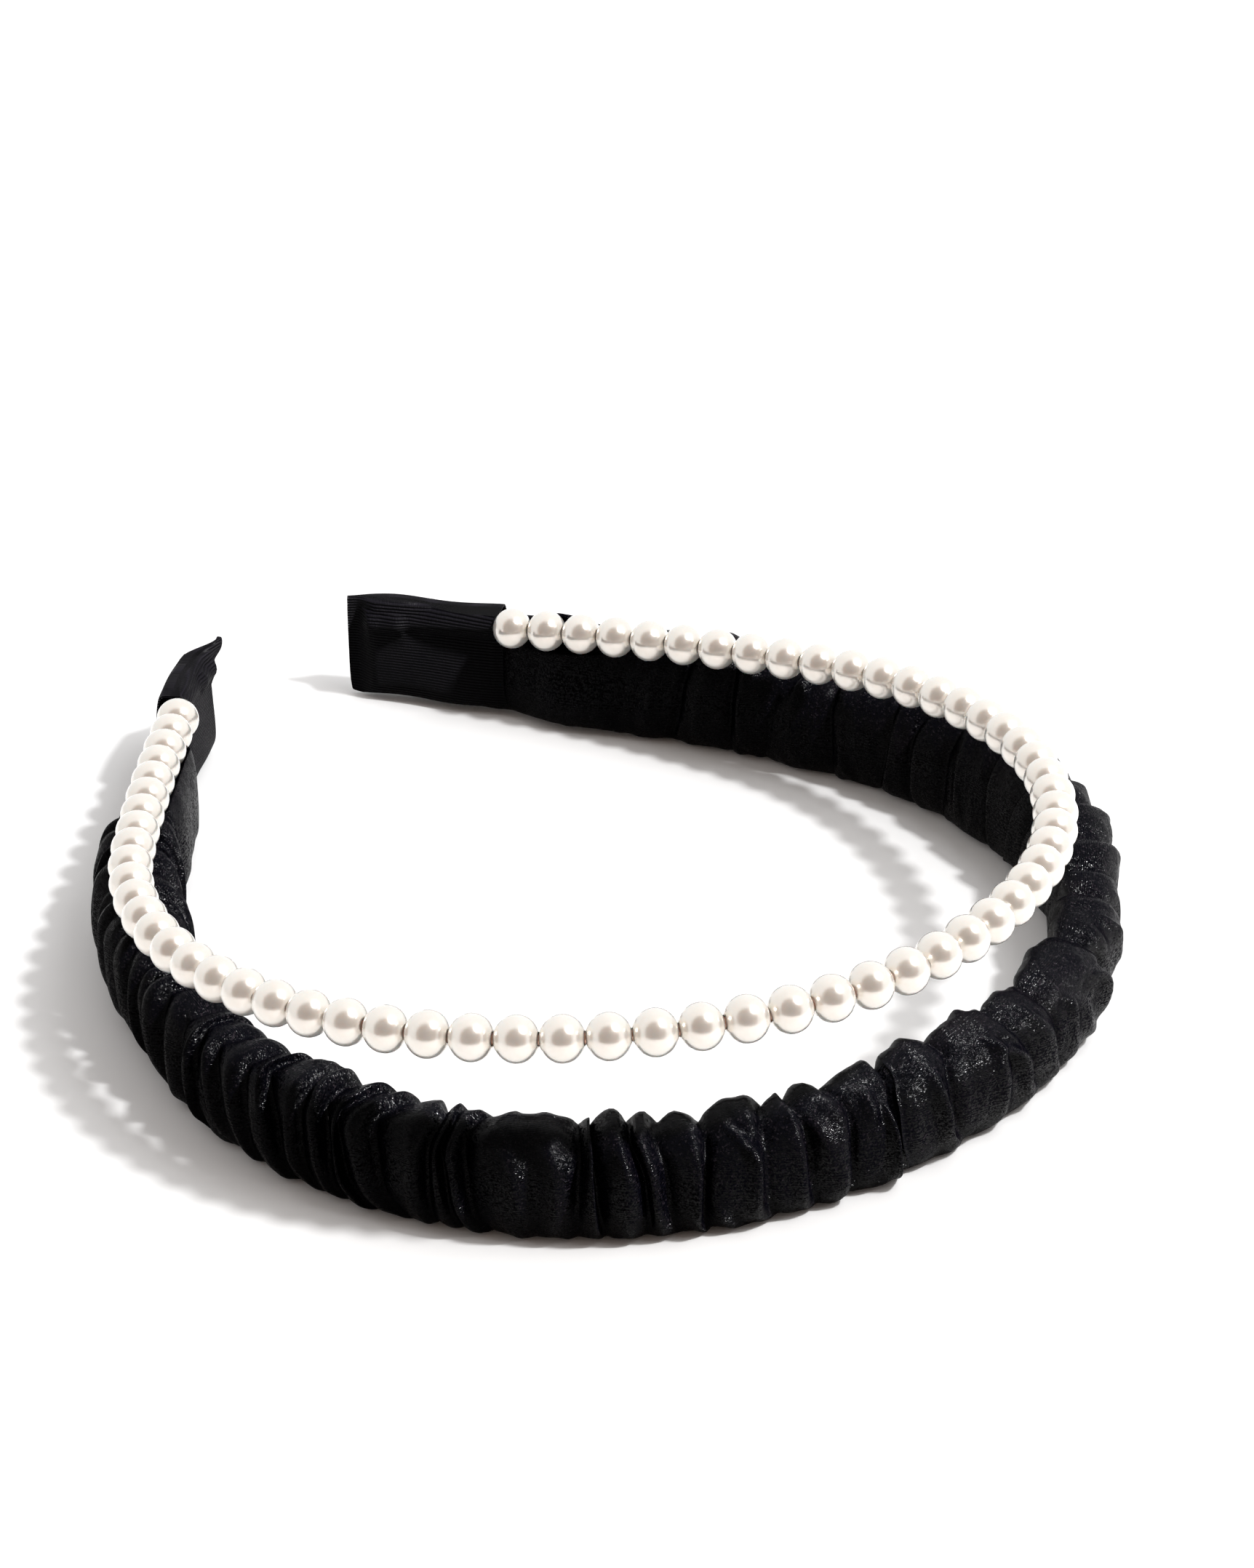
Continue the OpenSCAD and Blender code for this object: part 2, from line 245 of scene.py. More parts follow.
def ramp(tree, source, stops):
    """Colours over a value: stops are (place, colour) from the lowest place up."""
    n = node(tree, "ValToRGB")
    link(tree, source, n.inputs[0])
    for element, (place, colour) in zip(n.color_ramp.elements, (stops[0], stops[-1])):
        element.position = place
        element.color = (*colour, 1)
    for place, colour in stops[1:-1]:
        n.color_ramp.elements.new(place).color = (*colour, 1)
    return n.outputs[0]


def grey(a):
    return (a, a, a)


def noise(tree, vector, **values):
    n = node(tree, "TexNoise", **values)
    link(tree, vector, n.inputs["Vector"])
    return n.outputs[0]


def plus_part(tree, a, b, part):
    """The value a plus a part of the value b."""
    scaled = node(tree, "Math", operation="MULTIPLY")
    link(tree, b, scaled.inputs[0])
    scaled.inputs[1].default_value = part
    total = node(tree, "Math", operation="ADD")
    link(tree, a, total.inputs[0])
    link(tree, scaled.outputs[0], total.inputs[1])
    return total.outputs[0]


def mixed(tree, how, a, b):
    """Two colours added or multiplied; b may be a plain colour."""
    n = node(tree, "Mix", data_type="RGBA", blend_type=how)
    n.inputs[0].default_value = 1.0
    link(tree, a, n.inputs[6])
    if isinstance(b, tuple):
        n.inputs[7].default_value = (*b, 1)
    else:
        link(tree, b, n.inputs[7])
    return n.outputs[2]


def bumped(tree, height, strength, distance):
    n = node(tree, "Bump", Strength=strength, Distance=distance)
    link(tree, height, n.inputs["Height"])
    return n.outputs[0]


def set_inputs(shader, **values):
    """Plain values on the shader's own sockets; underscores stand for spaces."""
    for key, value in values.items():
        shader.inputs[key.replace("_", " ")].default_value = value


def satin_material():
    """Black satin: fine twill lines along the band, tiny glints, some of them painted into the base colour
    as bright specks, blue-black with a violet cast.
    """
    m, tree, shader = material("black_satin")
    cloth = node(tree, "UVMap", uv_map="cloth").outputs[0]
    place = node(tree, "TexCoord").outputs["Object"]
    cast = noise(tree, place, Scale=55.0, Detail=3.0, Roughness=0.6)
    colour = ramp(tree, cast, [(0.3, (0.0002, 0.0002, 0.0004)),
                               (0.55, (0.0003, 0.0003, 0.0006)),
                               (0.75, (0.0008, 0.0006, 0.0009))])
    # yarns: round floats 0.21 mm apart that run along the band, each about a millimetre long
    yarn = node(tree, "TexWave", Scale=1500.0, Distortion=3.0, wave_type="BANDS", bands_direction="Y")
    yarn.inputs["Detail"].default_value = 2.0
    yarn.inputs["Detail Scale"].default_value = 0.6
    link(tree, cloth, yarn.inputs["Vector"])
    stretch = node(tree, "Mapping", Scale=(1100.0, 4700.0, 1.0))
    link(tree, cloth, stretch.inputs["Vector"])
    floats = noise(tree, stretch.outputs[0], Scale=1.0, Detail=2.0, Roughness=0.55)
    glint = node(tree, "TexVoronoi", Scale=4800.0, Randomness=1.0)
    link(tree, place, glint.inputs["Vector"])
    # painted glints: bright specks in the base colour stand in for glints of light on the cloth
    painted_glint_mask = ramp(tree, glint.outputs["Color"], [(0.0, grey(0.0)), (0.72, grey(0.0)), (0.95, grey(1.0))])
    painted_glint_tint = mixed(tree, "MULTIPLY", painted_glint_mask, (0.0036, 0.0028, 0.0033))
    link(tree, mixed(tree, "ADD", colour, painted_glint_tint), shader.inputs["Base Color"])
    rough = ramp(tree, floats, [(0.35, grey(0.13)), (0.65, grey(0.23))])
    link(tree, rough, shader.inputs["Roughness"])
    relief = bumped(tree, plus_part(tree, floats, yarn.outputs[0], 0.45), 1.0, 0.00009)
    # each cell of cloth, 0.2 mm across, catches the light at its own angle, spread mostly up and down
    spread = node(tree, "VectorMath", operation="SUBTRACT")
    link(tree, glint.outputs["Color"], spread.inputs[0])
    spread.inputs[1].default_value = (0.5, 0.5, 0.5)
    facet = node(tree, "VectorMath", operation="MULTIPLY_ADD")
    link(tree, spread.outputs[0], facet.inputs[0])
    facet.inputs[1].default_value = (0.26, 0.26, 1.2)
    link(tree, relief, facet.inputs[2])
    unit = node(tree, "VectorMath", operation="NORMALIZE")
    link(tree, facet.outputs[0], unit.inputs[0])
    link(tree, unit.outputs[0], shader.inputs["Normal"])
    # the sheen fades where the cloth turns away, as it does not mirror bright surroundings there
    turn = node(tree, "LayerWeight", Blend=0.5)
    sheen = ramp(tree, turn.outputs["Facing"], [(0.5, grey(0.027)), (0.85, grey(0.004))])
    link(tree, sheen, shader.inputs["Specular IOR Level"])
    return m


def pearl_material():
    """Pearl lacquer: warm white with a painted reflection, darker and creamier in the middle where it faces
    the view and lighter towards the rim, glossy clear coat.
    """
    m, tree, shader = material("pearl_lacquer")
    place = node(tree, "TexCoord").outputs["Object"]
    cloud = noise(tree, place, Scale=420.0, Detail=3.0, Roughness=0.6)
    # painted reflection: the base colour is darker and creamier where the pearl faces the view and lighter
    # towards its rim
    turn = node(tree, "LayerWeight", Blend=0.35)
    painted_reflection_tint = ramp(tree, turn.outputs["Facing"], [(0.0, (0.86, 0.80, 0.735)),
                                               (0.4, (0.87, 0.84, 0.79)),
                                               (0.8, (0.89, 0.875, 0.845)),
                                               (1.0, (0.90, 0.865, 0.815))])
    mottle = ramp(tree, cloud, [(0.3, (0.955, 0.945, 0.93)), (0.7, (1.0, 1.0, 1.0))])
    link(tree, mixed(tree, "MULTIPLY", painted_reflection_tint, mottle), shader.inputs["Base Color"])
    rough = ramp(tree, cloud, [(0.2, grey(0.20)), (0.8, grey(0.27))])
    link(tree, rough, shader.inputs["Roughness"])
    fine = noise(tree, place, Scale=2600.0, Detail=2.0, Roughness=0.5)
    link(tree, bumped(tree, fine, 0.12, 0.00003), shader.inputs["Normal"])
    set_inputs(shader, Metallic=0.6, Specular_IOR_Level=0.6, Coat_Weight=0.8, Coat_Roughness=0.05,
               Subsurface_Weight=0.35, Subsurface_Radius=(0.0015, 0.001, 0.0008))
    return m


def wire_material():
    """Rose-gold plating with slight dulling."""
    m, tree, shader = material("rose_gold_wire")
    place = node(tree, "TexCoord").outputs["Object"]
    wear = noise(tree, place, Scale=900.0, Detail=4.0, Roughness=0.6)
    colour = ramp(tree, wear, [(0.3, (0.78, 0.42, 0.29)), (0.7, (0.93, 0.62, 0.47))])
    link(tree, colour, shader.inputs["Base Color"])
    rough = ramp(tree, wear, [(0.3, grey(0.38)), (0.7, grey(0.22))])
    link(tree, rough, shader.inputs["Roughness"])
    link(tree, bumped(tree, wear, 0.2, 0.00004), shader.inputs["Normal"])
    set_inputs(shader, Metallic=0.4)
    return m


def ribbon_material():
    """Black grosgrain: ribs 0.45 mm apart that run along the band, crossed by fine warp."""
    m, tree, shader = material("black_grosgrain")
    cloth = node(tree, "UVMap", uv_map="cloth").outputs[0]
    place = node(tree, "TexCoord").outputs["Object"]
    ribs = node(tree, "TexWave", Scale=690.0, Distortion=0.6, wave_type="BANDS", bands_direction="Y")
    ribs.inputs["Detail"].default_value = 1.5
    link(tree, cloth, ribs.inputs["Vector"])
    stretch = node(tree, "Mapping", Scale=(4200.0, 1500.0, 1.0))
    link(tree, cloth, stretch.inputs["Vector"])
    warp = noise(tree, stretch.outputs[0], Scale=1.0, Detail=2.0, Roughness=0.6)
    dust = noise(tree, place, Scale=160.0, Detail=4.0, Roughness=0.65)
    colour = ramp(tree, dust, [(0.35, (0.0006, 0.0005, 0.0009)), (0.7, (0.0015, 0.0013, 0.0018))])
    # painted shade and highlight: the colour is darker in the grooves between the ribs and lighter on their
    # crests, following the rib relief
    lift = ramp(tree, ribs.outputs[0], [(0.1, grey(0.5)), (0.9, grey(1.35))])
    link(tree, mixed(tree, "MULTIPLY", colour, lift), shader.inputs["Base Color"])
    rough = ramp(tree, warp, [(0.3, grey(0.42)), (0.7, grey(0.62))])
    link(tree, rough, shader.inputs["Roughness"])
    relief = bumped(tree, plus_part(tree, ribs.outputs[0], warp, 0.5), 1.0, 0.00016)
    link(tree, relief, shader.inputs["Normal"])
    set_inputs(shader, Specular_IOR_Level=0.03)
    return m


def thread_material():
    """Black lashing thread, wound in close turns."""
    m, tree, shader = material("black_thread")
    place = node(tree, "TexCoord").outputs["Object"]
    turns = node(tree, "TexWave", Scale=420.0, Distortion=1.2, wave_type="BANDS", bands_direction="DIAGONAL")
    link(tree, place, turns.inputs["Vector"])
    # painted shade and highlight: the colour is darker between the turns and lighter on their crests,
    # following the same waves as the bump
    colour = ramp(tree, turns.outputs[0], [(0.2, (0.003, 0.003, 0.004)), (0.8, (0.016, 0.015, 0.018))])
    link(tree, colour, shader.inputs["Base Color"])
    link(tree, bumped(tree, turns.outputs[0], 0.6, 0.0001), shader.inputs["Normal"])
    set_inputs(shader, Roughness=0.75)
    return m


def strip_material():
    """Black moulded plastic of the core strip."""
    m, tree, shader = material("moulded_strip")
    place = node(tree, "TexCoord").outputs["Object"]
    grain = noise(tree, place, Scale=900.0, Detail=5.0, Roughness=0.7)
    colour = ramp(tree, grain, [(0.3, (0.010, 0.010, 0.011)), (0.7, (0.022, 0.021, 0.022))])
    link(tree, colour, shader.inputs["Base Color"])
    rough = ramp(tree, grain, [(0.3, grey(0.45)), (0.7, grey(0.62))])
    link(tree, rough, shader.inputs["Roughness"])
    link(tree, bumped(tree, grain, 0.2, 0.00005), shader.inputs["Normal"])
    return m


SATIN, PEARL, WIRE = satin_material(), pearl_material(), wire_material()
RIBBON, THREAD, STRIP = ribbon_material(), thread_material(), strip_material()

# ---------------------------------------------------------------- satin cover
ROWS_ROUND = 84      # points round the section
GRAIN = 0.46         # rough spacing of the points along the band, in mm
LEFT_FLAT = (147.0, 157.0)       # where the gathers fade out and the cover turns flat, from the crown
RIGHT_FLAT = (152.0, 161.0)
LEFT_TIGHT = (168.0, 182.0)      # where the flat cover is drawn tight towards the wrap
RIGHT_TIGHT = (166.0, 176.0)
HALF_TIGHT, HALF_LOOSE = 1.75, 2.3      # half thickness of the flat cover
FLAT_HALF_H, FLAT_MID_Z = 7.6, 8.4
GATHERED_TO = {"left": -150.0, "right": 156.0}
COVER_END = 191.0    # the cover ends here, inside the wraps
END_STEPS = 64       # points along each smooth end
CLOTH_T = 0.25
CLOTH_ROUND = 46.0   # the flat cloth's width, which goes round the band
STRAND_GAP = 0.12    # cloth keeps this far from the pearls
# widths of the puffs over the crown, read one by one from CROWN_FROM to the right
CROWN_FROM = -69.0
CROWN_PUFFS = (4.4, 5.0, 2.6, 3.6, 10.6, 2.3, 4.9, 4.0, 5.0, 8.0, 3.9, 5.0, 8.6, 9.6, 13.0, 7.0, 15.0, 11.0)


def gathers(rng):
    """Crease places from the left end to the right."""
    right = [CROWN_FROM]
    for w in CROWN_PUFFS:
        right.append(right[-1] + w)
    while right[-1] < GATHERED_TO["right"]:
        right.append(right[-1] + rng.uniform(5.0, 11.5))
    left = [CROWN_FROM]
    while left[-1] > GATHERED_TO["left"]:
        left.append(left[-1] - rng.uniform(2.8, 5.6))
    return np.array(left[::-1] + right[1:])


def by_side(s, left, right):
    """A smooth step at its own place on each side, counted from the crown."""
    return np.where(s < 0, smoothstep(*left, -s), smoothstep(*right, s))


def section(phi, s):
    """Base outline: side offset, height and flatness; phi is 0 outside and 90 degrees on the upper edge."""
    flat = by_side(s, LEFT_FLAT, RIGHT_FLAT)
    tight = by_side(s, LEFT_TIGHT, RIGHT_TIGHT)
    slack = np.where(s < 0, 3.4, 1.9) * flat * (1 - tight)      # hangs loose to the inside before the wraps
    thick = HALF_TIGHT * tight + HALF_LOOSE * (1 - tight)
    a = COVER_T / 2 * 0.90 * (1 - flat) + thick * flat + slack * 0.4
    b = COVER_H / 2 * 0.97 * (1 - flat) + FLAT_HALF_H * flat
    mid_out = 0.85 * flat * tight + 0.3 * flat * (1 - tight) - slack * 0.5
    mid_z = COVER_H / 2 * (1 - flat) + FLAT_MID_Z * flat
    e = 0.62 * (1 - flat) + 0.5 * flat
    c, d = np.cos(phi), np.sin(phi)
    out = mid_out + a * np.sign(c) * np.abs(c) ** e
    z = mid_z + b * np.sign(d) * np.abs(d) ** e
    # loose cloth bellies outwards at both bends, and lifts in a few places
    belly = 1.5 * bump_at(s, 45, 72, 100, 118) + 3.0 * bump_at(-s, 108, 130, 146, 158)
    out = out + belly * np.maximum(c, 0) ** 0.7 - 0.5 * bump_at(s, 60, 80, 100, 120) * np.maximum(-c, 0)
    # on the right the lower inner edge sags away from the strip just before the wrap
    sag = 2.6 * bump_at(s, 146, 164, 180, 192) * np.clip(1 - z / 14, 0, 1) ** 0.8
    out = out - sag * np.maximum(-c, 0) ** 0.5
    lift = (1.2 * bump_at(s, 62, 78, 94, 112)
            + 1.1 * bump_at(s, 60, 72, 108, 124) * np.clip(0.6 - c, 0, 1)
            + 1.8 * np.exp(-((s - 140) / 4.0) ** 2)
            + 1.4 * np.exp(-((s - 166) / 5.0) ** 2)
            + 0.8 * bump_at(-s, 118, 136, 150, 168))
    return out, z + lift * np.maximum(d, 0) ** 2, flat


def smoothed(a, times):
    """Takes the sharpest points off a grid of values, which is closed along its columns."""
    for _ in range(times):
        a = 0.5 * a + 0.25 * (np.roll(a, 1, 1) + np.roll(a, -1, 1))
        a[1:-1] = 0.5 * a[1:-1] + 0.25 * (a[:-2] + a[2:])
    return a


def clear_of_strand(g, reach):
    """Pushes cloth out of the way of the pearls: under them on the left arm, aside on the right."""
    line = strand(np.linspace(pearl_s(0), pearl_s(PEARLS - 1), 700))[0]
    cloth = g.reshape(-1, 3)
    # only cloth this high and this far back can meet a pearl
    near = np.nonzero((cloth[:, 2] > 9) & (cloth[:, 1] > PLACE[1] + 70))[0]
    for part in np.array_split(near, 60):
        d = cloth[part][:, None, :] - line[None]
        r = np.linalg.norm(d, axis=-1)
        k = r.argmin(1)
        nearest = r[np.arange(len(part)), k]
        push = nearest < reach
        dd = d[np.arange(len(part)), k][push]
        aside = line[k[push]] + dd / nearest[push][:, None] * reach
        under = cloth[part[push]]
        plan2 = np.minimum(dd[:, 0] ** 2 + dd[:, 1] ** 2, reach * reach)
        under[:, 2] = line[k[push], 2] - np.sqrt(reach * reach - plan2)
        cloth[part[push]] = np.where(under[:, :1] < 0, under, aside)
    return cloth.reshape(g.shape)


def folds(rng, x, w, phi):
    """Hooked folds inside one puff: a ridge with a valley beside it, drifting across and dying out."""
    total = np.zeros((len(x), len(phi)))
    count = int(w > 3.6) + int(w > 6) + int(w > 10)
    for _ in range(count):
        inside = rng.random() < 0.4
        top = math.radians(rng.uniform(60, 105))
        reach = math.radians(rng.uniform(90, 190))
        if rng.random() < 0.35:
            top = math.radians(rng.uniform(-10, 40))
        down = (phi - top) if inside else np.angle(np.exp(1j * (top - phi)))
        tau = np.clip(down / reach, 0, 1)
        on = np.sin(math.pi * tau) ** 0.7 * (1 - 0.9 * np.maximum(np.sin(phi), 0) ** 4)
        c0, c1, c2 = rng.uniform(0.05, 0.7), rng.uniform(0.1, 0.8), rng.uniform(-0.5, 0.3)
        centre = w * np.clip(c0 + c1 * tau + c2 * tau * tau, 0.08, 0.92)
        wide = (0.35 + rng.uniform(0.04, 0.085) * w) * (0.75 + 0.5 * tau)
        d = (x[:, None] - centre[None]) / wide[None]
        height = rng.uniform(0.95, 1.45) * (0.9 + 0.03 * w)
        total += on[None] * height * (np.exp(-d * d) - 0.75 * np.exp(-((d - 1.7) / 1.2) ** 2))
    return total


def sleeve(name, outer, normal, thick, u, v, round_v=0.0):
    """A tube of cloth with an inner side, open at both ends; u, v are places on the flat cloth in mm."""
    inner = outer - normal * thick
    r, c = outer.shape[:2]
    verts = np.concatenate([outer.reshape(-1, 3), inner.reshape(-1, 3)])
    j = np.arange(c)
    k = (j + 1) % c
    rim = []
    for row in (0, r - 1):
        q = np.stack([row * c + j, row * c + k, r * c + row * c + k, r * c + row * c + j], -1)
        rim.append(q if row == 0 else q[:, ::-1])
    faces = np.concatenate([grid_faces(r, c, 0, flip=True), grid_faces(r, c, r * c)] + rim)
    uv = np.stack(np.broadcast_arrays(u, v), -1).reshape(-1, 2) * MM
    return new_mesh(name, verts, faces, np.concatenate([uv, uv]), round_v * MM)


def crease_lines(rng, crease, phi):
    """Each crease's place along the band, all the way round; it slants down the outer face."""
    n = len(crease)
    slant = rng.normal(1.2, 0.8, n) + 3.0 * bump_at(crease, 0, 20, 75, 95)
    bow = rng.normal(-0.5, 0.7, n)
    bow[crease < -50] -= 0.9
    wob2, wob3 = rng.normal(0, 0.4, n), rng.normal(0, 0.2, n)
    ph2, ph3 = rng.uniform(*ANY_PHASE, n), rng.uniform(*ANY_PHASE, n)
    P = phi[None, :]
    line = (crease[:, None] - slant[:, None] * np.sin(P) + bow[:, None] * np.cos(P)
            + wob2[:, None] * np.sin(2 * P + ph2[:, None])
            + wob3[:, None] * np.sin(3 * P + ph3[:, None]))
    for k in range(1, n):
        line[k] = np.maximum(line[k], line[k - 1] + 1.3)
    return line


def crease_bottoms(rng, crease, phi, top):
    """How far each crease dips: deep on part of the way round, and nearly closed elsewhere."""
    n = len(crease)
    broad = 0.35 * bump_at(crease, 5, 25, 140, 160)
    crisp = 0.5 * bump_at(crease, -90, -72, -5, 12)
    depth = rng.uniform(0.9, 1.45, n) * (1 - broad + crisp)
    gape = rng.uniform(0.7, 2.4, n)
    P = phi[None, :]
    low = -depth[:, None] * (0.88 + 0.22 * np.sin(P + gape[:, None]) + 0.12 * np.sin(2 * P - gape[:, None]))
    return low * (1 - 0.3 * top)


def puffs(rng, crease, phi):
    """The gathered cloth: rows of places along the band and of heights above the base outline."""
    top = np.maximum(np.sin(phi), 0) ** 3      # the cloth lies smoother over the upper edge
    line = crease_lines(rng, crease, phi)
    low = crease_bottoms(rng, crease, phi, top)
    width = np.diff(crease)
    last = len(width) - 1
    rows_s, rows_d = [], []
    for k in range(len(width)):
        a, b = line[k], line[k + 1]
        w = b - a
        local = np.clip(w / (0.75 * width[k]), 0.2, 1)      # a puff is low where its creases run together
        count = max(8, int(width[k] / GRAIN))
        t = np.linspace(0, 1, count + 1)
        t = 0.6 * t + 0.4 * (0.5 - 0.5 * np.cos(math.pi * t))
        peak = np.clip(rng.normal(0.7, 0.15), 0.3, 0.88)
        high = np.clip(0.45 + 0.06 * width[k] + rng.uniform(0.0, 0.7), 0.5, 1.25)
        power = 0.52 if width[k] > 6.5 else rng.uniform(0.55, 0.85)
        vary = 1 + 0.3 * np.sin(phi + rng.uniform(*ANY_PHASE))
        vary = vary + 0.22 * np.sin(2 * phi + rng.uniform(*ANY_PHASE))
        crest = np.clip(peak + 0.12 * np.sin(phi + rng.uniform(*ANY_PHASE)), 0.25, 0.82)
        lean = rng.normal(0.35, 0.4)
        calm = 1 - 0.45 * float(bump_at(crease[k], 5, 25, 140, 160))
        ridge = folds(rng, t * width[k], width[k], phi) * calm
        for j in range(count + 1 if k == last else count):
            u = np.where(t[j] < crest, 0.5 * t[j] / crest, 0.5 + 0.5 * (t[j] - crest) / (1 - crest))
            swell = np.sin(math.pi * np.clip(u, 0, 1)) ** power
            base = low[k] * (1 - t[j]) + low[k + 1] * t[j]
            edge = 0.5 * np.exp(-((t[j] - crest) * width[k] / 0.75) ** 2) * (1 - 0.85 * top)
            rows_s.append(a + w * t[j] + lean * swell * math.sin(math.pi * t[j]))
            rows_d.append(base * (1 - swell) + ((high * vary + edge + ridge[j]) * local - 0.25) * swell)
    return np.array(rows_s), np.array(rows_d)


def with_smooth_ends(S, D, phi):
    """Adds the two smooth ends, which run on into the wraps."""
    for sign in (-1, 1):
        edge = S[0] if sign < 0 else S[-1]
        steps = np.linspace(0, 1, END_STEPS)[1:]
        extra = edge[None] + (sign * COVER_END - edge[None]) * steps[:, None]
        fade = np.exp(-(np.abs(extra - edge[None]) / 4.0))
        loose = 1 - smoothstep(174, 181, np.abs(extra))
        soft = 0.35 * np.sin(extra * 0.42 + 1.9 * np.sin(phi)[None] + sign)
        soft = (soft + 0.2 * np.sin(extra * 0.8 - 2 * phi[None])) * loose
        extra_d = (D[0] if sign < 0 else D[-1])[None] * fade + soft
        S = np.concatenate([extra[::-1], S] if sign < 0 else [S, extra])
        D = np.concatenate([extra_d[::-1], D] if sign < 0 else [D, extra_d])
    return S, D


def unevenness(rng, S, P):
    """Fine waves of the cloth in every direction."""
    wave = np.zeros_like(S)
    for _ in range(14):
        f, g = rng.uniform(0.5, 2.4), rng.integers(1, 9)
        way = rng.choice([-1, 1])
        wave += 0.035 * np.sin(f * S + g * P * way + rng.uniform(*ANY_PHASE))
    return wave


def pressed_flat(z):
    """Cloth that reaches the table is pressed flat against it."""
    return 0.03 + 0.5 * (np.sqrt((z - 0.4) ** 2 + 0.3) + (z - 0.4))


def satin_points():
    """The cover's outer points in mm, and their places along the band."""
    rng = np.random.default_rng(11)
    crease = gathers(rng)
    phi = np.linspace(0, 2 * math.pi, ROWS_ROUND, endpoint=False)
    phi = phi + 0.03 * np.sin(4 * phi)
    P = phi[None, :]
    S, D = with_smooth_ends(*puffs(rng, crease, phi), phi)
    out, z, flat = section(P, S)
    wave = unevenness(rng, S, P)
    # the lower edge carries the weight of the band, so the cloth is less full there
    D = D * (1 - 0.92 * flat) * (1 - 0.85 * np.maximum(-np.sin(P), 0) ** 0.8) + wave * (1 - 0.5 * flat)
    do, dz = np.roll(out, -1, 1) - np.roll(out, 1, 1), np.roll(z, -1, 1) - np.roll(z, 1, 1)
    size = np.hypot(do, dz) + 1e-9
    out, z = out + D * dz / size, z - D * do / size
    g = clear_of_strand(smoothed(band(S, out, z), 1), PEARL_R + STRAND_GAP)
    g[..., 2] = pressed_flat(g[..., 2])
    return g, S


def satin_cover():
    """The cover as two halves that meet at the crown."""
    g, S = satin_points()
    split = int(np.abs(S.mean(1)).argmin())
    lengths = np.linalg.norm(np.diff(g, axis=0), axis=-1).mean(1)
    cloth_u = np.concatenate([[0], np.cumsum(lengths)])[:, None]
    cloth_v = np.linspace(0, CLOTH_ROUND, ROWS_ROUND, endpoint=False)[None, :]
    normal = grid_normals(g)
    for side, half in (("left", slice(0, split + 1)), ("right", slice(split, None))):
        obj = sleeve("satin_" + side, g[half], normal[half], CLOTH_T, cloth_u[half], cloth_v, CLOTH_ROUND)
        obj.data.materials.append(SATIN)
        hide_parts("satin_cover_" + side, "satin_cover_crown")
        bend_over(obj, side)


satin_cover()


# ---------------------------------------------------------------- pearls and wire
PEARL_RINGS, PEARL_SIDES = 22, 32
PEARL_HOLE_R = 0.78
PEARL_SHORT = 0.96      # a pearl's length against its diameter
WIRE_R = 0.74
WIRE_RINGS, WIRE_SIDES = 260, 12


def pearl_shape():
    """A drilled pearl along x: round, a little short, with a rolled-in mouth at each hole."""
    start = math.asin(PEARL_HOLE_R / PEARL_R)
    a = np.linspace(start, math.pi - start, PEARL_RINGS)
    x, r = -np.cos(a) * PEARL_R * PEARL_SHORT, np.sin(a) * PEARL_R
    bore = [PEARL_HOLE_R - 0.02]
    x = np.concatenate([[x[0] + 0.7], [x[0] + 0.12], x, [x[-1] - 0.12], [x[-1] - 0.7]])
    r = np.concatenate([bore, bore, r, bore, bore])
    r[2] += 0.04
    r[-3] += 0.04
    b = np.linspace(0, 2 * math.pi, PEARL_SIDES, endpoint=False)
    x = np.broadcast_to(x[:, None], (len(x), PEARL_SIDES))
    v = np.stack([x, r[:, None] * np.cos(b), r[:, None] * np.sin(b)], -1)
    return v.reshape(-1, 3), grid_faces(len(x), PEARL_SIDES)


def pearl_half(rng, side, group):
    """The pearls of one side: each a little different in size, turned and tipped at random on the wire."""
    shape, faces = pearl_shape()
    verts, quads = [], []
    for n in group:
        p, t, o, u = (v[0] for v in strand(np.array([pearl_s(n)])))
        size = rng.uniform(1.0, 1.02)
        roll = rng.uniform(*ANY_PHASE)
        tilt = rng.normal(0, 0.035, 2)
        t = t + o * tilt[0] + u * tilt[1]
        t /= np.linalg.norm(t)
        o = np.cross(u, t)
        o /= np.linalg.norm(o)
        w = np.cross(t, o)
        o, w = o * math.cos(roll) + w * math.sin(roll), w * math.cos(roll) - o * math.sin(roll)
        quads.append(faces + len(verts) * len(shape))
        verts.append((shape * [1, size, size]) @ np.stack([t, o, w]) + p)
    obj = new_mesh("pearls_" + side + "_half", np.concatenate(verts), np.concatenate(quads))
    obj.data.materials.append(PEARL)
    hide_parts("pearls_" + side, "pearls_crown")
    bend_over(obj, side)


def wire_half(side):
    """The wire from the crown to just inside one wrap."""
    if side == "left":
        s = np.linspace(pearl_s(0) - WIRE_DRAWN[side], 0.0, WIRE_RINGS)
    else:
        s = np.linspace(0.0, pearl_s(PEARLS - 1) + WIRE_DRAWN[side], WIRE_RINGS)
    p, _, o, u = strand(s)
    b = np.linspace(0, 2 * math.pi, WIRE_SIDES, endpoint=False)
    ring = WIRE_R * (o[:, None] * np.cos(b)[None, :, None] + u[:, None] * np.sin(b)[None, :, None])
    verts = (p[:, None] + ring).reshape(-1, 3)
    obj = new_mesh("wire_" + side + "_half", verts, grid_faces(len(s), WIRE_SIDES))
    obj.data.materials.append(WIRE)
    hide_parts("pearl_wire_" + side, "pearl_wire_crown")
    bend_over(obj, side)


def pearl_strand():
    rng = np.random.default_rng(4)
    middle = next(n for n in range(PEARLS) if pearl_s(n) > 0)
    for side, group in (("left", range(0, middle)), ("right", range(middle, PEARLS))):
        pearl_half(rng, side, group)
        wire_half(side)


pearl_strand()

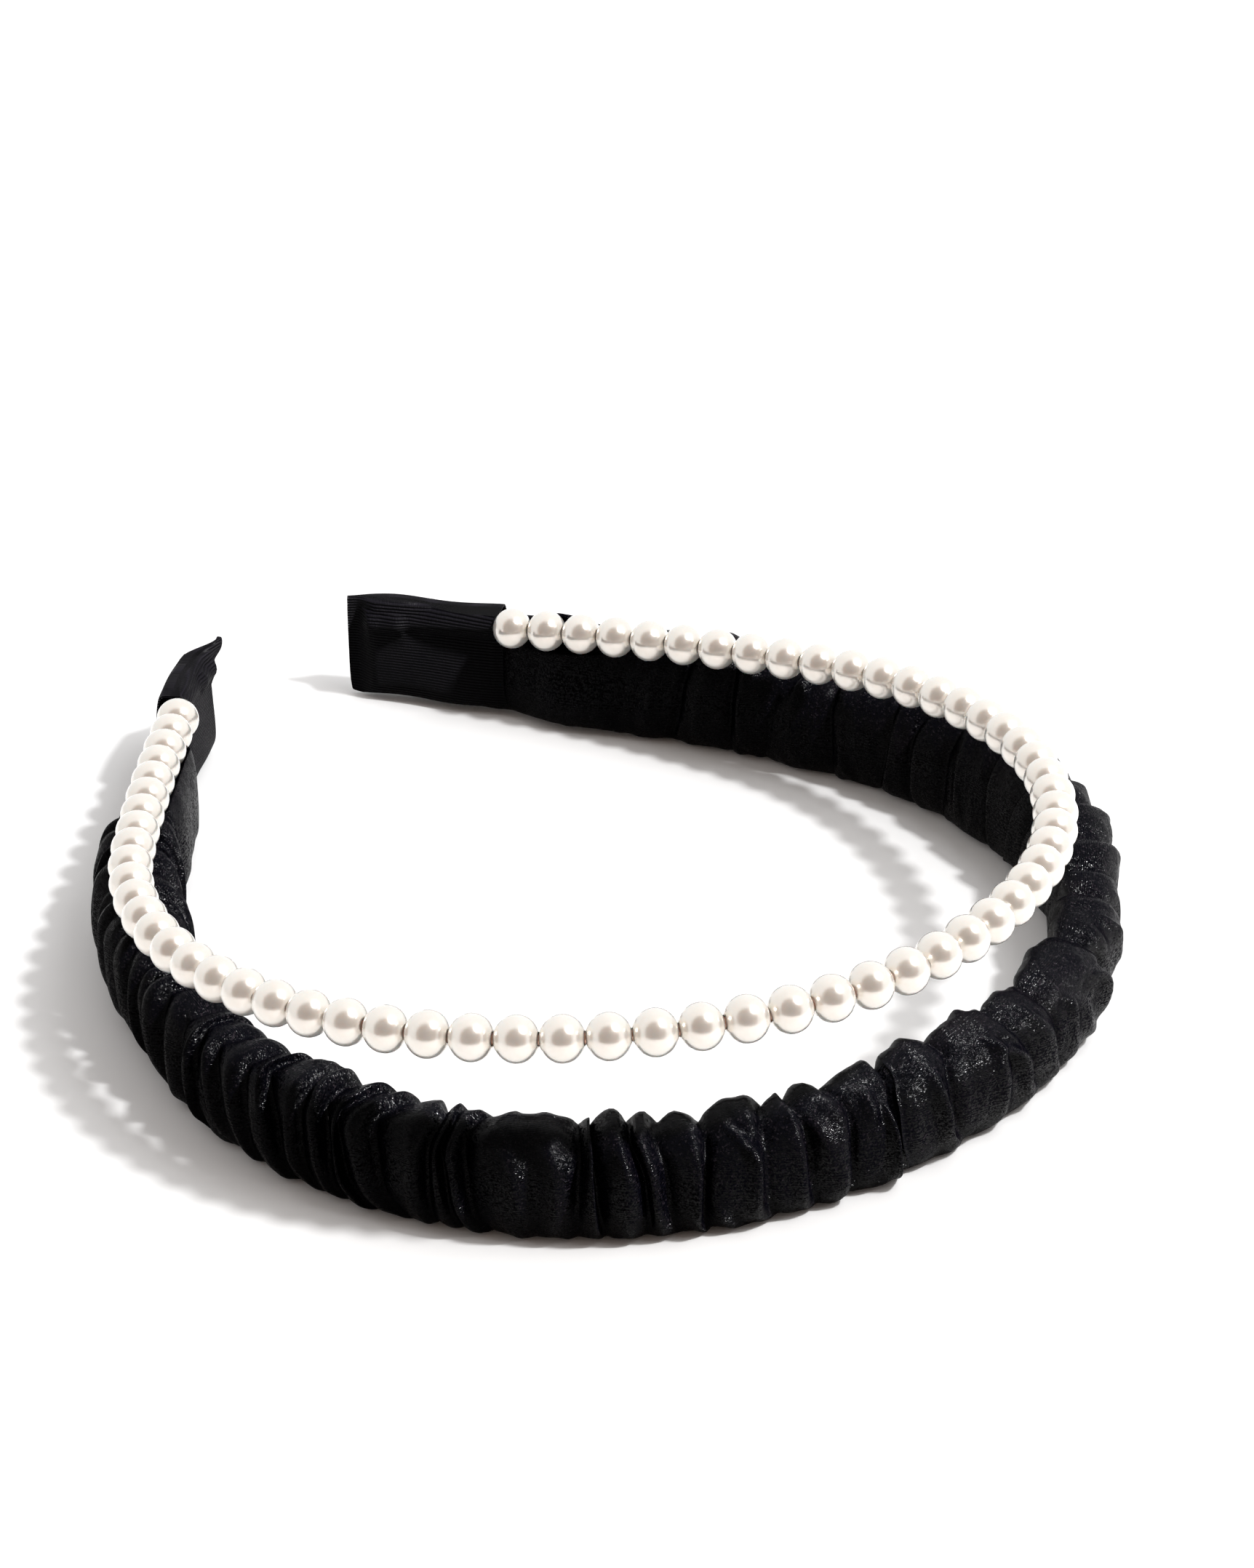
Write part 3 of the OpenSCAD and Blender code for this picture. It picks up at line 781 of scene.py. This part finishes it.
# ---------------------------------------------------------------- ribbon wraps
WRAP_FROM = {"left": 181.9, "right": 175.9}
WRAP_SEED = {"left": 21, "right": 22}
WRAP_ROWS, WRAP_SIDES = 84, 80
RIBBON_T = 0.3
WRAP_OUT, WRAP_MID_Z = 0.85, 8.75               # middle of the wrap's section
WRAP_HALF, WRAP_HALF_TIP = 2.3, 0.65            # half thickness over the core strip and at the tip
WRAP_HALF_H = 7.95


def wire_over_band(side):
    """Where the end of the wire lies against the band: place along it, side offset and height."""
    sign = SIDE_SIGN[side]
    last = pearl_s(0 if side == "left" else PEARLS - 1)
    p = strand(np.linspace(last, last + sign * WIRE_END[side], 60))[0] - PLACE
    s = sign * np.linspace(150, 205, 1101)
    q, _, n = path(BAND_R, BAND_L, s)
    k = ((p[:, None, :2] - q[None]) ** 2).sum(-1).argmin(1)
    off = ((p[:, :2] - q[k]) * n[k]).sum(-1)
    order = np.abs(s[k]).argsort()
    return np.abs(s[k])[order], off[order], p[order, 2]


def ribbon_wrap(side):
    """A folded ribbon sleeve, thick over the core strip and pinched flat past its end."""
    rng = np.random.default_rng(WRAP_SEED[side])
    t = np.linspace(0, 1, WRAP_ROWS)
    phi = np.linspace(0, 2 * math.pi, WRAP_SIDES, endpoint=False)
    T, P = np.meshgrid(t, phi, indexing="ij")
    start, end = WRAP_FROM[side], BAND_LEN
    c, d = np.cos(P), np.sin(P)
    # edges that aren't cut quite square
    first = start + (0.9 if side == "right" else 0.5) * d + 0.1 * np.sin(3 * P)
    last = end + 0.2 * np.sin(2 * P + 1) + 0.25 * d
    if side == "left":
        last = last - 3.4 * smoothstep(0.95, -0.2, d)
    else:
        last = last - 1.6 * smoothstep(0.86, 1.0, -d)
    S = first + (last - first) * T
    near_tip = smoothstep(end - 4.6, end - 1, S)
    a = WRAP_HALF * (1 - near_tip) + WRAP_HALF_TIP * near_tip
    a = a * (0.92 + 0.08 * smoothstep(start, start + 1.5, S))
    b = WRAP_HALF_H + 0.35 * near_tip
    out = WRAP_OUT + a * np.sign(c) * np.abs(c) ** 0.42
    z = WRAP_MID_Z + b * np.sign(d) * np.abs(d) ** 0.42
    # soft sag and buckles
    out = out + 0.25 * np.sin(S * 0.5 + 2 * d + rng.uniform(0, 6.28)) * (0.3 + near_tip)
    z = z + 0.28 * np.sin(S * 0.36 + rng.uniform(0, 6.28)) * np.where(d > 0, 1, 0.4)
    loose = 2.4 * (1 - smoothstep(start + 4, end - 2, S)) if side == "right" else 0.9 * (1 - near_tip)
    belly = loose * np.clip(1 - z / 14, 0, 1) ** 0.8
    out = out - belly * np.maximum(-c, 0) ** 0.5
    # a low ridge where the ribbon runs over the end of the wire
    ws, wo, wz = wire_over_band(side)
    gap = z - np.interp(S, ws, wz)
    knot = 0.75 * bump_at(S, end - 10, end - 7.4, end - 3.6, end - 1.8)     # the thread binding underneath
    ridge = np.interp(S, ws, wo) - 1.05 - knot + 0.30 * gap * gap
    past = smoothstep(end - 3.6, end - 1.4, S)
    out = np.where(c < 0, np.minimum(out, ridge * (1 - past) + out * past), out)
    if side == "left":
        # the upper corner of the tip curls in towards the head
        curl = 2.9 * smoothstep(end - 6, end, S) ** 1.5 * smoothstep(9, 16, z)
        out = out - curl + 0.5 * np.sin(z * 0.55) * near_tip
    z = np.maximum(z, 0.35)
    g = clear_of_strand(band(SIDE_SIGN[side] * S, out, z), PEARL_R + 0.03)
    # the inner side is another part of the flat ribbon, 40 mm further on
    obj = sleeve("ribbon_" + side, g, grid_normals(g), RIBBON_T, S, z + np.where(c < 0, 40.0, 0.0))
    obj.data.materials.append(RIBBON)
    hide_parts("ribbon_wrap_" + side)
    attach(obj, side + "_arm")


for side in ("left", "right"):
    ribbon_wrap(side)

# ---------------------------------------------------------------- carried-over CAD nodes
for name, look in (("core_strip_crown", STRIP), ("core_strip_left", STRIP), ("core_strip_right", STRIP),
                   ("end_binding_left", THREAD), ("end_binding_right", THREAD)):
    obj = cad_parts[name]
    obj.data.materials.clear()
    obj.data.materials.append(look)


# ---------------------------------------------------------------- floor and light
FLOOR_HALF = 6.0


def floor():
    """A plain white floor."""
    m, tree, shader = material("white_floor")
    speck = noise(tree, node(tree, "TexCoord").outputs["Object"], Scale=6.0, Detail=2.0)
    colour = ramp(tree, speck, [(0.3, (0.93, 0.935, 0.94)), (0.7, (0.95, 0.95, 0.95))])
    link(tree, colour, shader.inputs["Base Color"])
    set_inputs(shader, Roughness=0.9, Specular_IOR_Level=0.1)
    mesh = bpy.data.meshes.new("floor")
    w = FLOOR_HALF
    mesh.from_pydata([(-w, -w, 0), (w, -w, 0), (w, w, 0), (-w, w, 0)], [], [(0, 1, 2, 3)])
    obj = bpy.data.objects.new("floor", mesh)
    obj.data.materials.append(m)
    scene.collection.objects.link(obj)


KEY = Vector((0.31, -0.47, 0.89)).normalized()              # towards the lamps
CAMERA_SIDE = Vector((-0.52, -0.69, 0.50)).normalized()     # towards the darker gap in the white tent
LIT = Vector((0, 0, 0.01))                                  # the lamps point here


def area_light(name, place, power, size):
    """A round lamp that faces the object."""
    data = bpy.data.lights.new(name, "AREA")
    data.shape, data.size, data.energy = "DISK", size, power
    obj = bpy.data.objects.new(name, data)
    obj.location = place
    obj.rotation_mode = "QUATERNION"
    obj.rotation_quaternion = (place - LIT).to_track_quat("Z", "Y")
    scene.collection.objects.link(obj)
    return obj


def lamps():
    # one lamp throws the shadows; the larger one shows as a disc in each pearl
    area_light("key_lamp", KEY * 1.5, power=14.0, size=0.12)
    area_light("key_box", KEY * 1.6, power=6.5, size=0.80)
    # the cloth alone gets a hard spot, so that its sheen stands out against the bright floor
    spot = area_light("cloth_spot", KEY * 1.45, power=210.0, size=0.12)
    cloth = bpy.data.collections.new("lit_cloth")
    for name in ("satin_left", "satin_right", "ribbon_left", "ribbon_right"):
        cloth.objects.link(bpy.data.objects[name])
    spot.light_linking.receiver_collection = cloth


def tent():
    """A white tent with a darker gap on the side that the picture is taken from."""
    world = bpy.data.worlds.new("studio")
    world.use_nodes = True
    scene.world = world
    tree = world.node_tree
    background = next(n for n in tree.nodes if n.type == "BACKGROUND")
    dot = node(tree, "VectorMath", operation="DOT_PRODUCT")
    dot.inputs[1].default_value = CAMERA_SIDE
    link(tree, node(tree, "TexCoord").outputs["Generated"], dot.inputs[0])
    shade = ramp(tree, dot.outputs["Value"], [(0.0, (1.0, 1.0, 1.0)),
                                              (0.50, (1.0, 1.0, 1.0)),
                                              (0.68, (0.30, 0.23, 0.19)),
                                              (1.0, (0.14, 0.10, 0.08))])
    link(tree, shade, background.inputs[0])
    background.inputs[1].default_value = 1.0


floor()
lamps()
tent()
scene.view_settings.view_transform = "Standard"
scene.view_settings.look = "None"
